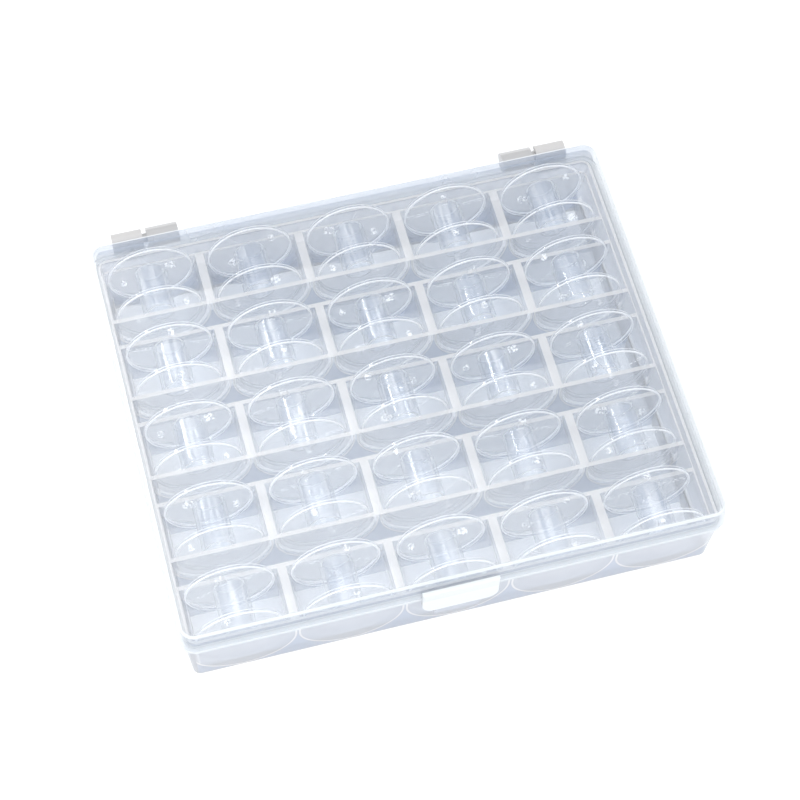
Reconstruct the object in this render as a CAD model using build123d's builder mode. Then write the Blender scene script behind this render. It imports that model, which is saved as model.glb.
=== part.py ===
from build123d import *
import math
import os

# Clear hinged box that keeps 25 sewing-machine bobbins in five rows of five.
# The base is one moulding with a half-round well for each bobbin, the lid is a
# second moulding that snaps onto two rear hinge bores, and each bobbin stands on
# its rim with its axis front to back.
#
# Frame: +X is to the right, +Y is towards the hinges and +Z is up. The origin is
# on the table, under the middle of the whole object from latch to hinges. Sizes
# are in millimetres, and y values below are measured from the middle of the base,
# which box_y places in the frame.

# ---------------------------------------------------------------- driving sizes

# Bobbin
bobbin_diameter = 20.4
bobbin_width = 11.7
flange_thickness = 0.9
rim_round = 0.2
hub_diameter = 7.7
bore_diameter = 6.1
thread_hole_diameter = 1.6
thread_hole_offset = 6.8        # from the bobbin's axis to the middle of the hole
thread_slot_width = 1.6
thread_slot_reach = 6.1         # from the bobbin's axis to the slot's outer end
index_line_width = 0.8          # shallow line across the outside of each flange
index_line_depth = 0.12

# Wells
columns = 5
rows = 5
well_side_clearance = 0.8
well_end_clearance = 0.6
divider_thickness = 2.0
row_wall = 1.0
finger_gap = 6.0                # between one row's wall and the next row's
finger_gap_floor = 1.0
trough_shell = 0.8
trough_lift = 1.2               # underside of a trough above the table
well_straight = 1.8             # straight part of a well's sides, above the half-round
seat_clearance = 0.3            # bobbin's rim above the bottom of its well
bobbin_shift = 0.25             # bobbins lean this far towards the hinge side
grid_shift = 0.35               # the whole grid of wells sits towards the hinge side
cusp_flat = 1.1                 # width of the hollow's roof between two troughs
cusp_round = 0.35
hollow_side_inset = 1.4         # hollow's side, inward from the end wells' sides

# Base shell
cavity_side_margin = 0.4        # cavity wall beyond the end wells
cavity_end_margin = 0.9
side_wall = 1.4
rim_above_wells = 2.4
base_corner = 3.0
base_draft = 4.6
foot_round = 1.0
lip_thickness = 0.6
lip_height = 1.4

# Lid
head_clearance = 0.35           # above the bobbins
lid_plate = 1.15
skirt_thickness = 1.25
lip_clearance = 0.3             # between the base's lip and the lid's skirt
parting_gap = 0.05              # between the base's rim and the lid's skirt
lid_flare = 5.7
lid_corner = 3.0
lid_edge_round = 0.9
mould_mark_diameter = 1.4
mould_mark_depth = 0.15
mould_mark_spacing = 58.0
mould_mark_inset = 2.2          # from the lid's rear edge

# Hinges
barrel_diameter = 4.6
hinge_inset = 5.45              # from the rim's side to the outer end of a hinge
lid_knuckle = 7.5
base_knuckle = 7.25
knuckle_gap = 1.0
hinge_rise = 0.4                # axis above the rim
hinge_setback = 0.7             # barrel behind the lid's skirt
web_below_rim = 0.2             # top of the base's web, under the skirt
web_depth = 4.0                 # height of the web where it meets the wall
pin_diameter = 2.2
pin_reach = 5.0
pin_clearance = 0.06
pin_end_clearance = 0.5
snap_slot_width = 1.8

# Latch
latch_width = 17.4
latch_thickness = 1.2
latch_drop = 4.7                # tab's lower edge below the rim
latch_rise = 4.0                # above the skirt's lower edge
latch_corner = 2.8
latch_round = 0.4
latch_clearance = 0.1           # nose to ridge, with the tab at rest
nose_depth = 0.45
nose_height = 0.6
catch_width = 10.4
catch_height = 10.5
catch_below_rim = 0.7
catch_set_in = 0.15             # pad's face inside the rim's outside
ridge_depth = 0.25
ridge_height = 1.1
ridge_above_nose = 0.2

# How far each bobbin has rolled round, in degrees, row by row from the hinge side
resting_turns = (
    17, 217, 158, 95, 208,
    262, 83, 9, 85, 326,
    15, 108, 329, 19, 299,
    156, 109, 314, 83, 152,
    112, 249, 9, 225, 275,
)

# ------------------------------------------------------------- places worked out

bobbin_radius = bobbin_diameter / 2
well_radius = bobbin_radius + well_side_clearance
well_length = bobbin_width + 2 * well_end_clearance
column_pitch = 2 * well_radius + divider_thickness
row_pitch = well_length + 2 * row_wall + finger_gap
trough_z = trough_lift + trough_shell + well_radius
well_top = trough_z + well_straight
bobbin_z = trough_z - well_side_clearance + seat_clearance
column_x = [(column - (columns - 1) / 2) * column_pitch for column in range(columns)]
row_y = [grid_shift + ((rows - 1) / 2 - row) * row_pitch for row in range(rows)]

cavity_half_x = (columns - 1) / 2 * column_pitch + well_radius + cavity_side_margin
cavity_half_y = (rows - 1) / 2 * row_pitch + well_length / 2 + cavity_end_margin
rim_half_x = cavity_half_x + side_wall
rim_half_y = cavity_half_y + side_wall
rim_z = well_top + rim_above_wells
lip_top = rim_z + lip_height
cavity_corner = base_corner - side_wall

skirt_z = rim_z + parting_gap
plate_z = bobbin_z + bobbin_radius + head_clearance
lid_top = plate_z + lid_plate
lid_slope = math.tan(math.radians(lid_flare))

hinge_z = rim_z + hinge_rise
barrel_radius = barrel_diameter / 2


def skirt_outside(cavity_half, z):
    """Half size of the lid's outside at height z, from the cavity's half size."""
    stack = cavity_half + lip_thickness + lip_clearance + skirt_thickness
    return stack + (lip_top - z) * lid_slope


hinge_y = skirt_outside(cavity_half_y, skirt_z) + hinge_setback + barrel_radius
base_knuckle_x = rim_half_x - hinge_inset - base_knuckle
lid_knuckle_x = base_knuckle_x - knuckle_gap - lid_knuckle

catch_y = rim_half_y - catch_set_in
nose_y = catch_y + ridge_depth + latch_clearance
latch_inside_y = nose_y + nose_depth
latch_outside_y = latch_inside_y + latch_thickness
latch_top = skirt_z + latch_rise
latch_bottom = rim_z - latch_drop
catch_top = rim_z - catch_below_rim
catch_bottom = catch_top - catch_height

box_y = (latch_outside_y - (hinge_y + barrel_radius)) / 2


def level(z):
    """Horizontal plane at height z, over the middle of the base."""
    return Plane((0, box_y, z))


def upright(y):
    """Vertical plane that faces the front, with x across and z up."""
    return Plane((0, box_y + y, 0), x_dir=(1, 0, 0), z_dir=(0, -1, 0))


def lengthwise(x):
    """Vertical plane that faces +X, with y along and z up."""
    return Plane((x, box_y, 0), x_dir=(0, 1, 0), z_dir=(1, 0, 0))


# ------------------------------------------------------------------------- base


def wells_in_row(y):
    """Cut one row's wells: half-round troughs with short straight sides."""
    with BuildSketch(upright(y + well_length / 2)) as wells:
        with Locations(*[(x, trough_z) for x in column_x]):
            Circle(well_radius)
            Rectangle(2 * well_radius, well_straight, align=(Align.CENTER, Align.MIN))
    extrude(wells.sketch, amount=well_length, mode=Mode.SUBTRACT)


def hollow_under_row(y):
    """Add the space below one row's troughs, open to the table."""
    outer_radius = well_radius + trough_shell
    roof_half = (column_pitch - cusp_flat) / 2
    roof_z = trough_z - math.sqrt(outer_radius**2 - roof_half**2)
    side_x = column_x[-1] + well_radius - hollow_side_inset
    with BuildSketch(upright(y + well_length / 2)) as hollow:
        Rectangle(2 * side_x, roof_z, align=(Align.CENTER, Align.MIN))
        with Locations(*[(x, trough_z) for x in column_x]):
            Circle(outer_radius, mode=Mode.SUBTRACT)
        roof_corners = hollow.vertices().group_by(Axis.Y)[-1]
        inner_corners = roof_corners.filter_by_position(Axis.X, column_x[0], column_x[-1])
        fillet(inner_corners, cusp_round)
    extrude(hollow.sketch, amount=well_length)


# Everything hollowed out between the outer walls, held inside their drafted inner faces
with BuildPart() as base_hollows:
    for y in row_y:
        hollow_under_row(y)
    for front_y in row_y[1:]:
        gap_y = front_y + row_pitch / 2
        with BuildSketch(level(finger_gap_floor)):
            with Locations((0, gap_y)):
                Rectangle(2 * rim_half_x, finger_gap)
        extrude(amount=well_top - finger_gap_floor)
    with BuildSketch(level(rim_z)):
        Rectangle(2 * cavity_half_x, 2 * cavity_half_y)
    extrude(amount=-rim_z, taper=base_draft, mode=Mode.INTERSECT)

with BuildPart() as base:
    # Outer shell
    with BuildSketch(level(rim_z)):
        RectangleRounded(2 * rim_half_x, 2 * rim_half_y, base_corner)
    extrude(amount=-rim_z, taper=base_draft)
    fillet(base.faces().sort_by(Axis.Z)[0].edges(), foot_round)

    # Inner lip that the lid's skirt closes over
    with BuildSketch(level(rim_z)):
        lip_corner = cavity_corner + lip_thickness
        RectangleRounded(
            2 * (cavity_half_x + lip_thickness), 2 * (cavity_half_y + lip_thickness), lip_corner
        )
    extrude(amount=lip_height)

    # Cavity above the wells, the wells, the finger gaps and the hollows underneath
    with BuildSketch(level(well_top)):
        RectangleRounded(2 * cavity_half_x, 2 * cavity_half_y, cavity_corner)
    extrude(amount=lip_top - well_top, mode=Mode.SUBTRACT)
    for y in row_y:
        wells_in_row(y)
    add(base_hollows.part, mode=Mode.SUBTRACT)

    # Catch pad on the front wall, with the ridge that the latch's nose hooks under
    ridge_z = latch_bottom + nose_height + ridge_above_nose
    with BuildSketch(lengthwise(-catch_width / 2)):
        with BuildLine():
            Polyline(
                (-(rim_half_y - side_wall), catch_bottom),
                (-catch_y, catch_bottom),
                (-catch_y, ridge_z),
                (-(catch_y + ridge_depth), ridge_z),
                (-catch_y, ridge_z + ridge_height),
                (-catch_y, catch_top),
                (-(rim_half_y - side_wall), catch_top),
                close=True,
            )
        make_face()
    extrude(amount=catch_width)

    # Hinge knuckles: a web under the skirt carries each barrel
    for side in (-1, 1):
        inner_end = lengthwise(side * base_knuckle_x)
        web_top = rim_z - web_below_rim
        with BuildSketch(inner_end) as knuckle:
            with BuildLine():
                Polyline(
                    (rim_half_y - side_wall, web_top),
                    (hinge_y, web_top),
                    (hinge_y, hinge_z - barrel_radius),
                    (rim_half_y - side_wall, web_top - web_depth),
                    close=True,
                )
            make_face()
            with Locations((hinge_y, hinge_z)):
                Circle(barrel_radius)
        extrude(amount=side * base_knuckle)
        with BuildSketch(inner_end) as bore:
            with Locations((hinge_y, hinge_z)):
                Circle(pin_diameter / 2 + pin_clearance)
                Rectangle(barrel_diameter, snap_slot_width, align=(Align.MIN, Align.CENTER))
        extrude(amount=side * (pin_reach - knuckle_gap + pin_end_clearance), mode=Mode.SUBTRACT)

base.part.label = "base"

# -------------------------------------------------------------------------- lid

with BuildPart() as lid:
    # Top plate and flared skirt
    with BuildSketch(level(lid_top)):
        RectangleRounded(
            2 * skirt_outside(cavity_half_x, lid_top),
            2 * skirt_outside(cavity_half_y, lid_top),
            lid_corner,
        )
    extrude(amount=skirt_z - lid_top, taper=-lid_flare)
    fillet(lid.faces().sort_by(Axis.Z)[-1].edges(), lid_edge_round)
    with BuildSketch(level(plate_z)):
        RectangleRounded(
            2 * (skirt_outside(cavity_half_x, plate_z) - skirt_thickness),
            2 * (skirt_outside(cavity_half_y, plate_z) - skirt_thickness),
            lid_corner - skirt_thickness,
        )
    extrude(amount=skirt_z - plate_z, taper=-lid_flare, mode=Mode.SUBTRACT)

    # Two small round marks that the mould leaves near the rear edge
    with BuildSketch(level(lid_top)):
        mark_y = skirt_outside(cavity_half_y, lid_top) - mould_mark_inset
        with Locations((-mould_mark_spacing / 2, mark_y), (mould_mark_spacing / 2, mark_y)):
            Circle(mould_mark_diameter / 2)
    extrude(amount=-mould_mark_depth, mode=Mode.SUBTRACT)

    # Latch tab: its root stands on the skirt and its nose hooks under the ridge
    skirt_middle_y = skirt_outside(cavity_half_y, lid_top) - skirt_thickness / 2
    with BuildSketch(upright(-skirt_middle_y)):
        with Locations((0, skirt_z)):
            Rectangle(latch_width, latch_rise, align=(Align.CENTER, Align.MIN))
    extrude(amount=latch_outside_y - skirt_middle_y)
    with BuildSketch(upright(-latch_inside_y)) as tab:
        with Locations((0, latch_bottom)):
            Rectangle(latch_width, latch_top - latch_bottom, align=(Align.CENTER, Align.MIN))
        fillet(tab.vertices().group_by(Axis.Z)[0], latch_corner)
    extrude(amount=latch_thickness)
    fillet(lid.faces().sort_by(Axis.Y)[0].edges(), latch_round)
    nose_width = latch_width - 2 * latch_corner
    with BuildSketch(lengthwise(-nose_width / 2)):
        with BuildLine():
            Polyline(
                (-latch_inside_y, latch_bottom),
                (-nose_y, latch_bottom + nose_height / 2),
                (-nose_y, latch_bottom + nose_height),
                (-latch_inside_y, latch_bottom + nose_height),
                close=True,
            )
        make_face()
    extrude(amount=nose_width)

    # Hinge knuckles, each with an integral pin that snaps into the base's bore
    for side in (-1, 1):
        inner_end = lengthwise(side * lid_knuckle_x)
        skirt_y = skirt_outside(cavity_half_y, lid_top) - skirt_thickness / 2
        with BuildSketch(inner_end):
            with Locations((skirt_y, skirt_z)):
                Rectangle(
                    hinge_y - skirt_y, hinge_z + barrel_radius - skirt_z, align=(Align.MIN, Align.MIN)
                )
            with Locations((hinge_y, hinge_z)):
                Circle(barrel_radius)
        extrude(amount=side * lid_knuckle)
        with BuildSketch(lengthwise(side * (lid_knuckle_x + lid_knuckle))):
            with Locations((hinge_y, hinge_z)):
                Circle(pin_diameter / 2)
        extrude(amount=side * pin_reach)

lid.part.label = "lid"

# ---------------------------------------------------------------------- bobbins


def flange(face_z, turn):
    """One flange with its thread hole, and its thread slot on the other side of the axis."""
    with BuildSketch(Plane.XY.offset(face_z)) as disc:
        Circle(bobbin_radius)
    extrude(disc.sketch, amount=flange_thickness)
    with BuildSketch(Plane.XY.offset(face_z)) as cuts:
        with Locations(Rotation(0, 0, turn)):
            with Locations((-thread_hole_offset, 0)):
                Circle(thread_hole_diameter / 2)
            Rectangle(thread_slot_reach, thread_slot_width, align=(Align.MIN, Align.CENTER))
    extrude(cuts.sketch, amount=flange_thickness, mode=Mode.SUBTRACT)


# One bobbin on the Z axis, with its back flange at the bottom and its slot towards +X
with BuildPart() as bobbin_pattern:
    Cylinder(hub_diameter / 2, bobbin_width)
    flange(-bobbin_width / 2, 0)
    flange(bobbin_width / 2 - flange_thickness, 180)
    rims = bobbin_pattern.edges().filter_by(GeomType.CIRCLE)
    fillet(rims.filter_by(lambda rim: rim.radius > bobbin_radius - rim_round), rim_round)
    with BuildSketch(Plane.XY.offset(-bobbin_width / 2)):
        Circle(bore_diameter / 2)
    extrude(amount=bobbin_width, mode=Mode.SUBTRACT)
    for side in (-1, 1):
        with BuildSketch(Plane.XY.offset(side * bobbin_width / 2)):
            Rectangle(index_line_width, bobbin_diameter)
        extrude(amount=-side * index_line_depth, mode=Mode.SUBTRACT)

# --------------------------------------------------------------- write each node

os.makedirs("parts", exist_ok=True)
export_step(base.part, "parts/base.step")
export_step(lid.part, "parts/lid.step")

for row in range(rows):
    for column in range(columns):
        turn = resting_turns[(row * columns + column) % len(resting_turns)]
        axis_front = Plane(
            origin=(column_x[column], box_y + row_y[row] + bobbin_shift, bobbin_z),
            x_dir=(math.cos(math.radians(turn)), 0, math.sin(math.radians(turn))),
            z_dir=(0, -1, 0),
        )
        with BuildPart() as bobbin:
            with Locations(axis_front):
                add(bobbin_pattern.part)
        bobbin.part.label = f"bobbin_r{row + 1}c{column + 1}"
        export_step(bobbin.part, f"parts/{bobbin.part.label}.step")
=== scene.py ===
import math
import bpy
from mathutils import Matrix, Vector

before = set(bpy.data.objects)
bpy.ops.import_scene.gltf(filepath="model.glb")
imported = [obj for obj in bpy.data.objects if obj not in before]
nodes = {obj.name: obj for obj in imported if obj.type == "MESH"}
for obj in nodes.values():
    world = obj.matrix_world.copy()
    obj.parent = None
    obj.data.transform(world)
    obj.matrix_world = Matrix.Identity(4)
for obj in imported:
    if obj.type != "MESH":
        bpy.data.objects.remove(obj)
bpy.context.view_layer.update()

scene = bpy.context.scene

# ------------------------------------------------------------- table and studio light
# The closed box stands on a plain white table in an even white studio, under a broad
# ceiling light with a weaker one in front and a small one behind for glints.

camera = bpy.data.objects.new("camera", bpy.data.cameras.new("camera"))
camera.data.lens = 104.73
camera.data.sensor_width = 36
camera.data.clip_start = 0.01
camera.location = (-0.073713, -0.248154, 0.479813)
camera.rotation_euler = [math.radians(angle) for angle in (28.7971, -1.0175, -14.8731)]
scene.collection.objects.link(camera)
scene.camera = camera

scene.view_settings.view_transform = "Standard"
scene.cycles.max_bounces = 20
scene.cycles.transparent_max_bounces = 96   # a low view crosses many clear walls
scene.cycles.caustics_reflective = False
scene.cycles.caustics_refractive = False
scene.cycles.denoising_prefilter = "ACCURATE"


box_middle = (0, 0, 0.01)


def soft_box(name, size, power, place):
    """A square soft light at place, turned to face the box."""
    lamp = bpy.data.lights.new(name, "AREA")
    lamp.shape = "SQUARE"
    lamp.size = size
    lamp.energy = power
    holder = bpy.data.objects.new(name, lamp)
    holder.location = place
    holder.rotation_euler = (Vector(place) - Vector(box_middle)).to_track_quat("Z", "Y").to_euler()
    scene.collection.objects.link(holder)


soft_box("ceiling_light", 0.9, 5.2, (-0.10, 0.10, 1.0))
soft_box("front_light", 0.9, 4.1, (-0.35, -1.0, 0.45))
soft_box("glint_light", 0.12, 1.6, (-0.70, 0.46, 0.54))

studio_tint = (0.935, 0.965, 1.0, 1)
studio_strength = 1.07
studio = bpy.data.worlds.new("studio")
studio.use_nodes = True
studio_air = studio.node_tree.nodes["Background"]
studio_air.inputs["Color"].default_value = studio_tint
studio_air.inputs["Strength"].default_value = studio_strength
scene.world = studio

table_reach = 3.0
table_drop = 0.0002         # just below the box's foot
table_colour = (0.95, 0.95, 0.95, 1)
table_corners = [(-1, -1), (1, -1), (1, 1), (-1, 1)]
table_mesh = bpy.data.meshes.new("table_top")
table_mesh.from_pydata(
    [(x * table_reach, y * table_reach, 0) for x, y in table_corners], [], [(0, 1, 2, 3)]
)
table = bpy.data.objects.new("table_top", table_mesh)
table.location = (0, 0, -table_drop)
table_white = bpy.data.materials.new("table_white")
table_white.use_nodes = True
table_paint = table_white.node_tree.nodes["Principled BSDF"]
table_paint.inputs["Base Color"].default_value = table_colour
table_paint.inputs["Roughness"].default_value = 0.8
table_mesh.materials.append(table_white)
scene.collection.objects.link(table)

# ------------------------------------------------------------------------- base
# The lower half of the box: one shot of natural polypropylene, with five rows of five
# wells hung between thin end walls. It is clear where it is thin and milky along its
# dividers, and its foot and the thick hinge knuckles are a warm grey.


def calc(tree, operation, *values, clamp=False):
    """A Math node on sockets or plain numbers; gives its output."""
    made = tree.nodes.new("ShaderNodeMath")
    made.operation = operation
    made.use_clamp = clamp
    for socket, value in zip(made.inputs, values):
        if isinstance(value, (int, float)):
            socket.default_value = value
        else:
            tree.links.new(value, socket)
    return made.outputs[0]


def ramp(tree, value, low, high, to_low=0.0, to_high=1.0):
    """A smooth step of value from low to high."""
    made = tree.nodes.new("ShaderNodeMapRange")
    made.interpolation_type = "SMOOTHSTEP"
    made.inputs["From Min"].default_value = low
    made.inputs["From Max"].default_value = high
    made.inputs["To Min"].default_value = to_low
    made.inputs["To Max"].default_value = to_high
    tree.links.new(value, made.inputs["Value"])
    return made.outputs["Result"]


def fall(tree, value, low, high):
    """One below low, nothing above high."""
    return ramp(tree, value, low, high, 1.0, 0.0)


def both(tree, first, *others):
    """Where every mask holds."""
    for mask in others:
        first = calc(tree, "MULTIPLY", first, mask)
    return first


def either(tree, first, *others):
    """Where any of the masks holds."""
    for mask in others:
        first = calc(tree, "MAXIMUM", first, mask)
    return first


def weigh(tree, start, *shares):
    """start plus each mask times its own share, kept between nothing and one."""
    for mask, share in shares:
        start = calc(tree, "MULTIPLY_ADD", mask, share, start)
    return calc(tree, "ADD", start, 0.0, clamp=True)


def length_of(tree, one, other):
    """How far a point is from an axis, from its two distances."""
    square = calc(tree, "MULTIPLY", other, other)
    return calc(tree, "SQRT", calc(tree, "MULTIPLY_ADD", one, one, square))


def group(name, inputs, outputs):
    """An empty node group with named numbers going in and coming out."""
    tree = bpy.data.node_groups.new(name, "ShaderNodeTree")
    for label, value in inputs.items():
        socket = tree.interface.new_socket(label, in_out="INPUT", socket_type="NodeSocketFloat")
        socket.default_value = value
    for label in outputs:
        tree.interface.new_socket(label, in_out="OUTPUT", socket_type="NodeSocketFloat")
    return tree, tree.nodes.new("NodeGroupInput").outputs, tree.nodes.new("NodeGroupOutput").inputs


def noise(tree, scale, detail, distortion, vector):
    """A Noise Texture over vector; gives its value."""
    made = tree.nodes.new("ShaderNodeTexNoise")
    made.inputs["Detail"].default_value = detail
    made.inputs["Distortion"].default_value = distortion
    if isinstance(scale, (int, float)):
        made.inputs["Scale"].default_value = scale
    else:
        tree.links.new(scale, made.inputs["Scale"])
    tree.links.new(vector, made.inputs["Vector"])
    return made.outputs["Fac"]


# Moulded skin: slow clouding of the melt, a fine orange peel and sparse handling scratches.
skin_group, given, gives = group(
    "moulded_skin",
    {"Cloud Size": 60.0, "Peel Size": 900.0, "Scratch": 0.3, "Roughness": 0.12},
    ("Cloud", "Roughness", "Height"),
)
place = skin_group.nodes.new("ShaderNodeTexCoord").outputs["Object"]
cloud = ramp(skin_group, noise(skin_group, given["Cloud Size"], 3.0, 0.6, place), 0.3, 0.7)
peel = noise(skin_group, given["Peel Size"], 1.0, 0.0, place)
stretch = skin_group.nodes.new("ShaderNodeMapping")
stretch.inputs["Rotation"].default_value = (0.3, 0.2, 0.6)
stretch.inputs["Scale"].default_value = (1.0, 14.0, 1.0)
skin_group.links.new(place, stretch.inputs["Vector"])
hair = noise(skin_group, 110.0, 2.0, 0.4, stretch.outputs["Vector"])
scratch = calc(skin_group, "MULTIPLY", ramp(skin_group, hair, 0.66, 0.72), given["Scratch"])
skin_group.links.new(cloud, gives["Cloud"])
rough = weigh(skin_group, given["Roughness"], (cloud, 0.05), (scratch, 0.25))
skin_group.links.new(rough, gives["Roughness"])
dip = calc(skin_group, "MULTIPLY", scratch, -0.5)
skin_group.links.new(calc(skin_group, "MULTIPLY_ADD", peel, 0.25, dip), gives["Height"])

lamp_tint = (0.97, 0.98, 0.99, 1)   # what one skin of clear plastic leaves of a lamp's light
relief_depth = 0.0002               # metres
face_on_mirror = 0.04               # share mirrored face on, and what edge on adds to it
edge_on_mirror = 0.9
millimetres = 1000.0                # in a metre


class Plastic:
    """A see-through moulded plastic: hazy where thin, white where thick, with a glossy skin."""

    def __init__(self, name, roughness, cloud_size, scratch, bump):
        self.material = bpy.data.materials.new(name)
        self.material.use_nodes = True
        self.tree = tree = self.material.node_tree
        tree.nodes.clear()
        self.skin = tree.nodes.new("ShaderNodeGroup")
        self.skin.node_tree = skin_group
        self.skin.inputs["Roughness"].default_value = roughness
        self.skin.inputs["Cloud Size"].default_value = cloud_size
        self.skin.inputs["Scratch"].default_value = scratch
        relief = tree.nodes.new("ShaderNodeBump")
        relief.inputs["Strength"].default_value = bump
        relief.inputs["Distance"].default_value = relief_depth
        tree.links.new(self.skin.outputs["Height"], relief.inputs["Height"])

        self.body = tree.nodes.new("ShaderNodeBsdfPrincipled")
        self.body.inputs["Specular IOR Level"].default_value = 0.0
        dull = calc(tree, "ADD", self.skin.outputs["Roughness"], 0.3)
        tree.links.new(dull, self.body.inputs["Roughness"])
        tree.links.new(relief.outputs[0], self.body.inputs["Normal"])
        gloss = tree.nodes.new("ShaderNodeBsdfAnisotropic")
        tree.links.new(self.skin.outputs["Roughness"], gloss.inputs["Roughness"])
        tree.links.new(relief.outputs[0], gloss.inputs["Normal"])

        # The skin mirrors a little face on and much more edge on, the same from both sides
        self.facing = tree.nodes.new("ShaderNodeLayerWeight")
        self.facing.inputs["Blend"].default_value = 0.5
        tree.links.new(relief.outputs[0], self.facing.inputs["Normal"])
        grazing = self.edge_on(5.0)
        mirror = calc(tree, "MULTIPLY_ADD", grazing, edge_on_mirror, face_on_mirror, clamp=True)
        skin_mix = tree.nodes.new("ShaderNodeMixShader")
        tree.links.new(mirror, skin_mix.inputs["Fac"])
        tree.links.new(self.body.outputs[0], skin_mix.inputs[1])
        tree.links.new(gloss.outputs[0], skin_mix.inputs[2])

        # Light from the lamps goes on through it
        lamp_side = tree.nodes.new("ShaderNodeBsdfTransparent")
        lamp_side.inputs["Color"].default_value = lamp_tint
        rays = tree.nodes.new("ShaderNodeLightPath")
        lamp_mix = tree.nodes.new("ShaderNodeMixShader")
        tree.links.new(rays.outputs["Is Shadow Ray"], lamp_mix.inputs["Fac"])
        tree.links.new(skin_mix.outputs[0], lamp_mix.inputs[1])
        tree.links.new(lamp_side.outputs[0], lamp_mix.inputs[2])
        out = tree.nodes.new("ShaderNodeOutputMaterial")
        tree.links.new(lamp_mix.outputs[0], out.inputs["Surface"])

    def edge_on(self, power):
        """More where the surface is seen edge on."""
        return calc(self.tree, "POWER", self.facing.outputs["Facing"], power)

    def colour_mix(self, mask, first, second):
        """From the first colour to the second by mask; either may be a socket."""
        mix = self.tree.nodes.new("ShaderNodeMix")
        mix.data_type = "RGBA"
        self.tree.links.new(mask, mix.inputs["Factor"])
        for label, colour in (("A", first), ("B", second)):
            if isinstance(colour, tuple):
                mix.inputs[label].default_value = (*colour, 1)
            else:
                self.tree.links.new(colour, mix.inputs[label])
        return mix.outputs["Result"]

    def finish(self, milk, haze, haze_colour, milk_colour, lump, lump_colour):
        """milk, haze and lump, each 0 to 1: white body, thin grey haze and thick lumps; some of
        the white is painted highlight and some of the haze painted shade.
        """
        tree = self.tree
        thin = calc(tree, "SUBTRACT", 1.0, milk)
        cover = calc(tree, "MULTIPLY_ADD", thin, haze, milk, clamp=True)
        share = calc(tree, "DIVIDE", milk, calc(tree, "MAXIMUM", cover, 0.001), clamp=True)
        colour = self.colour_mix(share, haze_colour, milk_colour)
        colour = self.colour_mix(lump, colour, lump_colour)
        tree.links.new(colour, self.body.inputs["Base Color"])
        tree.links.new(cover, self.body.inputs["Alpha"])

    def give_to(self, node):
        """Put this finish on a node in place of its own."""
        node.data.materials.clear()
        node.data.materials.append(self.material)


def place_and_side(tree):
    """Where a point is, in millimetres, and which way its surface faces, as x, y and z."""
    spot = tree.nodes.new("ShaderNodeTexCoord")
    larger = tree.nodes.new("ShaderNodeVectorMath")
    larger.operation = "SCALE"
    larger.inputs["Scale"].default_value = millimetres
    tree.links.new(spot.outputs["Object"], larger.inputs[0])
    at = tree.nodes.new("ShaderNodeSeparateXYZ")
    tree.links.new(larger.outputs["Vector"], at.inputs[0])
    side = tree.nodes.new("ShaderNodeSeparateXYZ")
    tree.links.new(spot.outputs["Normal"], side.inputs[0])
    return at.outputs, side.outputs


well_pitch = 24.0           # from one column of wells to the next, all in mm
trough_axis = 13.0          # height of the half-round troughs' axis
trough_skin = 11.6          # from that axis to the middle of a trough's wall
divider_top = 14.8
inner_half_x = 58.0
inner_front, inner_rear = -48.9, 44.0
base_rear = 49.2            # the knuckles stand out behind this
soft_edge = 0.1             # half the width of a mask's edge
foot_low, foot_high = 0.8, 1.3
knuckle_grey = (0.47, 0.455, 0.445)

base_plastic = Plastic("base_plastic", roughness=0.38, cloud_size=45.0, scratch=0.0, bump=0.12)
tree = base_plastic.tree
at, side = place_and_side(tree)
ledge = both(
    tree,
    ramp(tree, side["Z"], 0.6, 0.95),
    ramp(tree, at["Z"], divider_top - 0.4, divider_top - 0.05),
)
knuckle = ramp(tree, at["Y"], base_rear, base_rear + soft_edge)
from_middle = calc(tree, "ABSOLUTE", at["X"])
side_walls = ramp(tree, from_middle, inner_half_x - soft_edge, inner_half_x + soft_edge)
rear_wall = ramp(tree, at["Y"], inner_rear - soft_edge, inner_rear + soft_edge)
front_wall = fall(tree, at["Y"], inner_front - soft_edge, inner_front + soft_edge)
outer_wall = either(tree, side_walls, rear_wall, front_wall)
foot = both(tree, outer_wall, fall(tree, at["Z"], foot_low, foot_high))

# The troughs show through the end walls that carry them, as a row of half-rounds
across = calc(tree, "WRAP", at["X"], well_pitch / 2, -well_pitch / 2)
below = calc(tree, "MINIMUM", calc(tree, "SUBTRACT", at["Z"], trough_axis), 0.0)
reach = length_of(tree, across, below)
end_wall = both(
    tree,
    ramp(tree, calc(tree, "ABSOLUTE", side["Y"]), 0.9, 0.95),
    calc(tree, "LESS_THAN", at["Z"], divider_top - 0.01),
)
cradle = both(tree, end_wall, fall(tree, reach, trough_skin + 0.1, trough_skin + 0.3))
from_skin = calc(tree, "ABSOLUTE", calc(tree, "SUBTRACT", reach, trough_skin))
cradle_line = both(tree, end_wall, fall(tree, from_skin, 0.18, 0.3))
# Between and above the troughs the end walls take extra dark haze: painted shade
cusp_shade = both(tree, end_wall, ramp(tree, reach, trough_skin + 0.2, trough_skin + 0.4))

milk = weigh(
    tree,
    0.0,
    (base_plastic.edge_on(3.0), 0.35),
    (ledge, 0.6),
    (knuckle, 0.65),
    (cradle, 0.07),
    (outer_wall, 0.12),
    (cradle_line, 0.4),
    (foot, 0.85),
    (base_plastic.skin.outputs["Cloud"], 0.03),
)
# The extra haze on the cusps and, a little, on the rear wall is painted shade
haze = weigh(tree, 0.085, (cusp_shade, 0.30), (outer_wall, 0.23), (rear_wall, 0.03))
base_plastic.finish(
    milk,
    haze,
    haze_colour=(0.29, 0.36, 0.50),
    milk_colour=(0.69, 0.67, 0.65),
    lump=either(tree, knuckle, foot),
    lump_colour=knuckle_grey,
)
base_plastic.give_to(nodes["base"])

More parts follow.
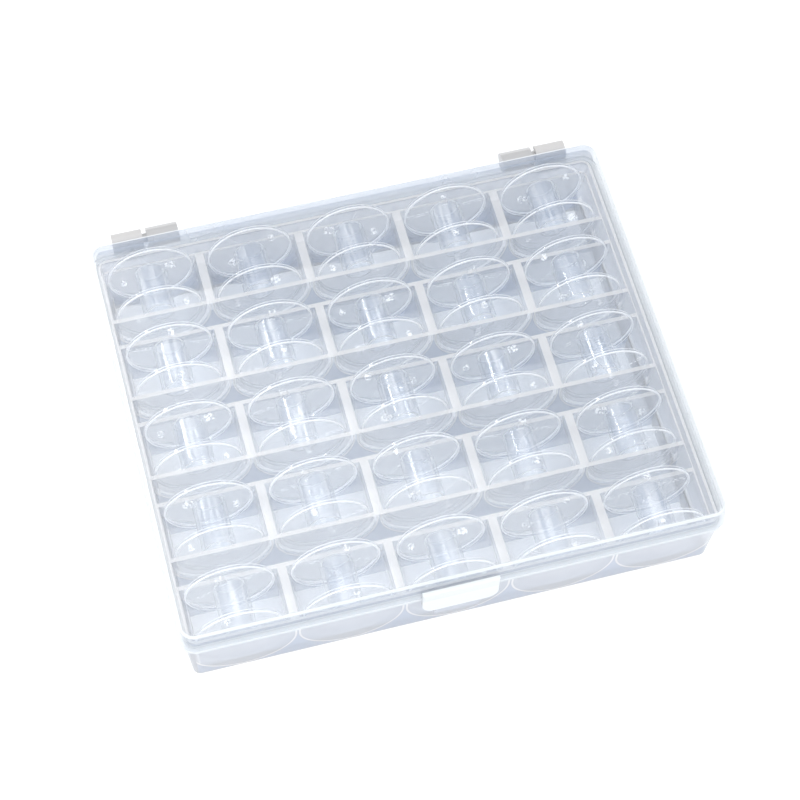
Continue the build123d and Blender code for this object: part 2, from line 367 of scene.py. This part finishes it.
# -------------------------------------------------------------------------- lid
# The hinged cover, moulded from the same polypropylene but clearer. The foot of its skirt
# reads white, its rounded edges are white partly from their thickness and partly as a painted
# highlight, its snap tab is a thick white tongue, and painted shade darkens the plate by the
# hinge.

skirt_foot = 17.25
lid_rear = 49.4             # the knuckles stand out behind this
skirt_front = -53.65        # the tab stands out in front of this
plate_rear_low, plate_rear_high = 45.5, 47.5    # the plate is darkened by the hinge with painted shade

lid_plastic = Plastic("lid_plastic", roughness=0.10, cloud_size=30.0, scratch=0.15, bump=0.12)
tree = lid_plastic.tree
at, side = place_and_side(tree)
upward = calc(tree, "ABSOLUTE", side["Z"])
foot = fall(tree, at["Z"], skirt_foot + 0.65, skirt_foot + 1.05)
# The white on the rounded edges is partly the thick corner and partly a painted highlight
rounded_edge_highlight = both(tree, ramp(tree, side["Z"], 0.2, 0.4), fall(tree, upward, 0.9, 0.995))
skirt = fall(tree, upward, 0.2, 0.4)
rear_shade = ramp(tree, at["Y"], plate_rear_low, plate_rear_high)
knuckle = ramp(tree, at["Y"], lid_rear, lid_rear + soft_edge)
tab = either(
    tree,
    calc(tree, "LESS_THAN", at["Y"], skirt_front),
    both(
        tree,
        calc(tree, "LESS_THAN", at["Y"], 0.0),
        calc(tree, "LESS_THAN", at["Z"], skirt_foot - 0.05),
    ),
)

milk = weigh(
    tree,
    0.0,
    (lid_plastic.edge_on(4.0), 0.3),
    (foot, 0.6),
    (rounded_edge_highlight, 0.8),
    (knuckle, 0.6),
    (tab, 0.85),
    (lid_plastic.skin.outputs["Cloud"], 0.03),
)
haze = weigh(tree, 0.035, (skirt, 0.17), (rear_shade, 0.20))
lid_plastic.finish(
    milk,
    haze,
    haze_colour=(0.40, 0.46, 0.56),
    milk_colour=(0.66, 0.68, 0.69),
    lump=knuckle,
    lump_colour=(0.47, 0.46, 0.455),
)
lid_plastic.give_to(nodes["lid"])

# ---------------------------------------------------------------------- bobbins
# Twenty-five sewing machine bobbins moulded from clear polystyrene, each standing on its
# rims in its own well. Light gathers in a white line along every rim, bore and slot.

bobbin_axis = 12.5
rim_radius = 10.2
hub_radius = 3.85
bore_radius = 3.05

bobbin_group, given, gives = group(
    "bobbin_masks",
    {
        "Pitch": well_pitch,
        "Axis Height": bobbin_axis,
        "Rim Radius": rim_radius,
        "Hub Radius": hub_radius,
        "Bore Radius": bore_radius,
    },
    ("Line", "Barrel", "Streak", "Opening"),
)
at, side = place_and_side(bobbin_group)
half_pitch = calc(bobbin_group, "MULTIPLY", given["Pitch"], 0.5)
across = calc(
    bobbin_group, "WRAP", at["X"], half_pitch, calc(bobbin_group, "MULTIPLY", half_pitch, -1.0)
)
up = calc(bobbin_group, "SUBTRACT", at["Z"], given["Axis Height"])
radius = length_of(bobbin_group, across, up)
axial = calc(bobbin_group, "ABSOLUTE", side["Y"])
face = ramp(bobbin_group, axial, 0.9, 0.95)
wall = fall(bobbin_group, axial, 0.3, 0.6)
from_rim = calc(bobbin_group, "SUBTRACT", given["Rim Radius"], radius)
near_rim = fall(bobbin_group, from_rim, 0.35, 0.5)
off_rim = calc(bobbin_group, "SUBTRACT", 1.0, near_rim)
rim_line = both(bobbin_group, near_rim, ramp(bobbin_group, axial, 0.1, 0.3))
past_bore = calc(bobbin_group, "SUBTRACT", radius, given["Bore Radius"])
bore_line = both(bobbin_group, face, fall(bobbin_group, past_bore, 0.35, 0.55))
past_hub = calc(bobbin_group, "SUBTRACT", radius, given["Hub Radius"])
on_hub = fall(bobbin_group, past_hub, 0.05, 0.25)
off_hub = calc(bobbin_group, "SUBTRACT", 1.0, on_hub)
bobbin_group.links.new(
    calc(bobbin_group, "MULTIPLY_ADD", bore_line, 0.85, rim_line), gives["Line"]
)

# White streaks painted along the barrel stand in for its glints, and the walls of the slots and
# thread holes carry painted sparkle
spot = bobbin_group.nodes.new("ShaderNodeTexCoord").outputs["Object"]
along_axis = bobbin_group.nodes.new("ShaderNodeMapping")
along_axis.inputs["Scale"].default_value = (1.0, 0.06, 1.0)
bobbin_group.links.new(spot, along_axis.inputs["Vector"])
streak_noise = noise(bobbin_group, 900.0, 1.0, 0.0, along_axis.outputs["Vector"])
streak = ramp(bobbin_group, streak_noise, 0.5, 0.62)
sparkle = ramp(bobbin_group, noise(bobbin_group, 1600.0, 1.0, 0.0, spot), 0.46, 0.54)
barrel = both(bobbin_group, wall, on_hub)
bobbin_group.links.new(barrel, gives["Barrel"])
bobbin_group.links.new(both(bobbin_group, barrel, streak), gives["Streak"])
bobbin_group.links.new(both(bobbin_group, wall, off_rim, off_hub, sparkle), gives["Opening"])

bobbin_plastic = Plastic("bobbin_plastic", roughness=0.06, cloud_size=90.0, scratch=0.0, bump=0.1)
tree = bobbin_plastic.tree
bobbin_mask_node = tree.nodes.new("ShaderNodeGroup")
bobbin_mask_node.node_tree = bobbin_group
milk = weigh(
    tree,
    0.0,
    (bobbin_plastic.edge_on(5.0), 0.9),
    (bobbin_mask_node.outputs["Line"], 1.0),
    (bobbin_mask_node.outputs["Streak"], 0.13),
    (bobbin_mask_node.outputs["Opening"], 0.9),
    (bobbin_plastic.skin.outputs["Cloud"], 0.01),
)
haze = weigh(
    tree, 0.018, (bobbin_plastic.skin.outputs["Cloud"], 0.004), (bobbin_mask_node.outputs["Barrel"], 0.10)
)
bobbin_plastic.finish(
    milk,
    haze,
    haze_colour=(0.27, 0.35, 0.49),
    milk_colour=(0.97, 0.98, 1.0),
    # The lump here is the painted highlight streak along the barrel
    lump=bobbin_mask_node.outputs["Streak"],
    lump_colour=(0.90, 0.92, 0.95),
)
for name, node in nodes.items():
    if name.startswith("bobbin"):
        bobbin_plastic.give_to(node)
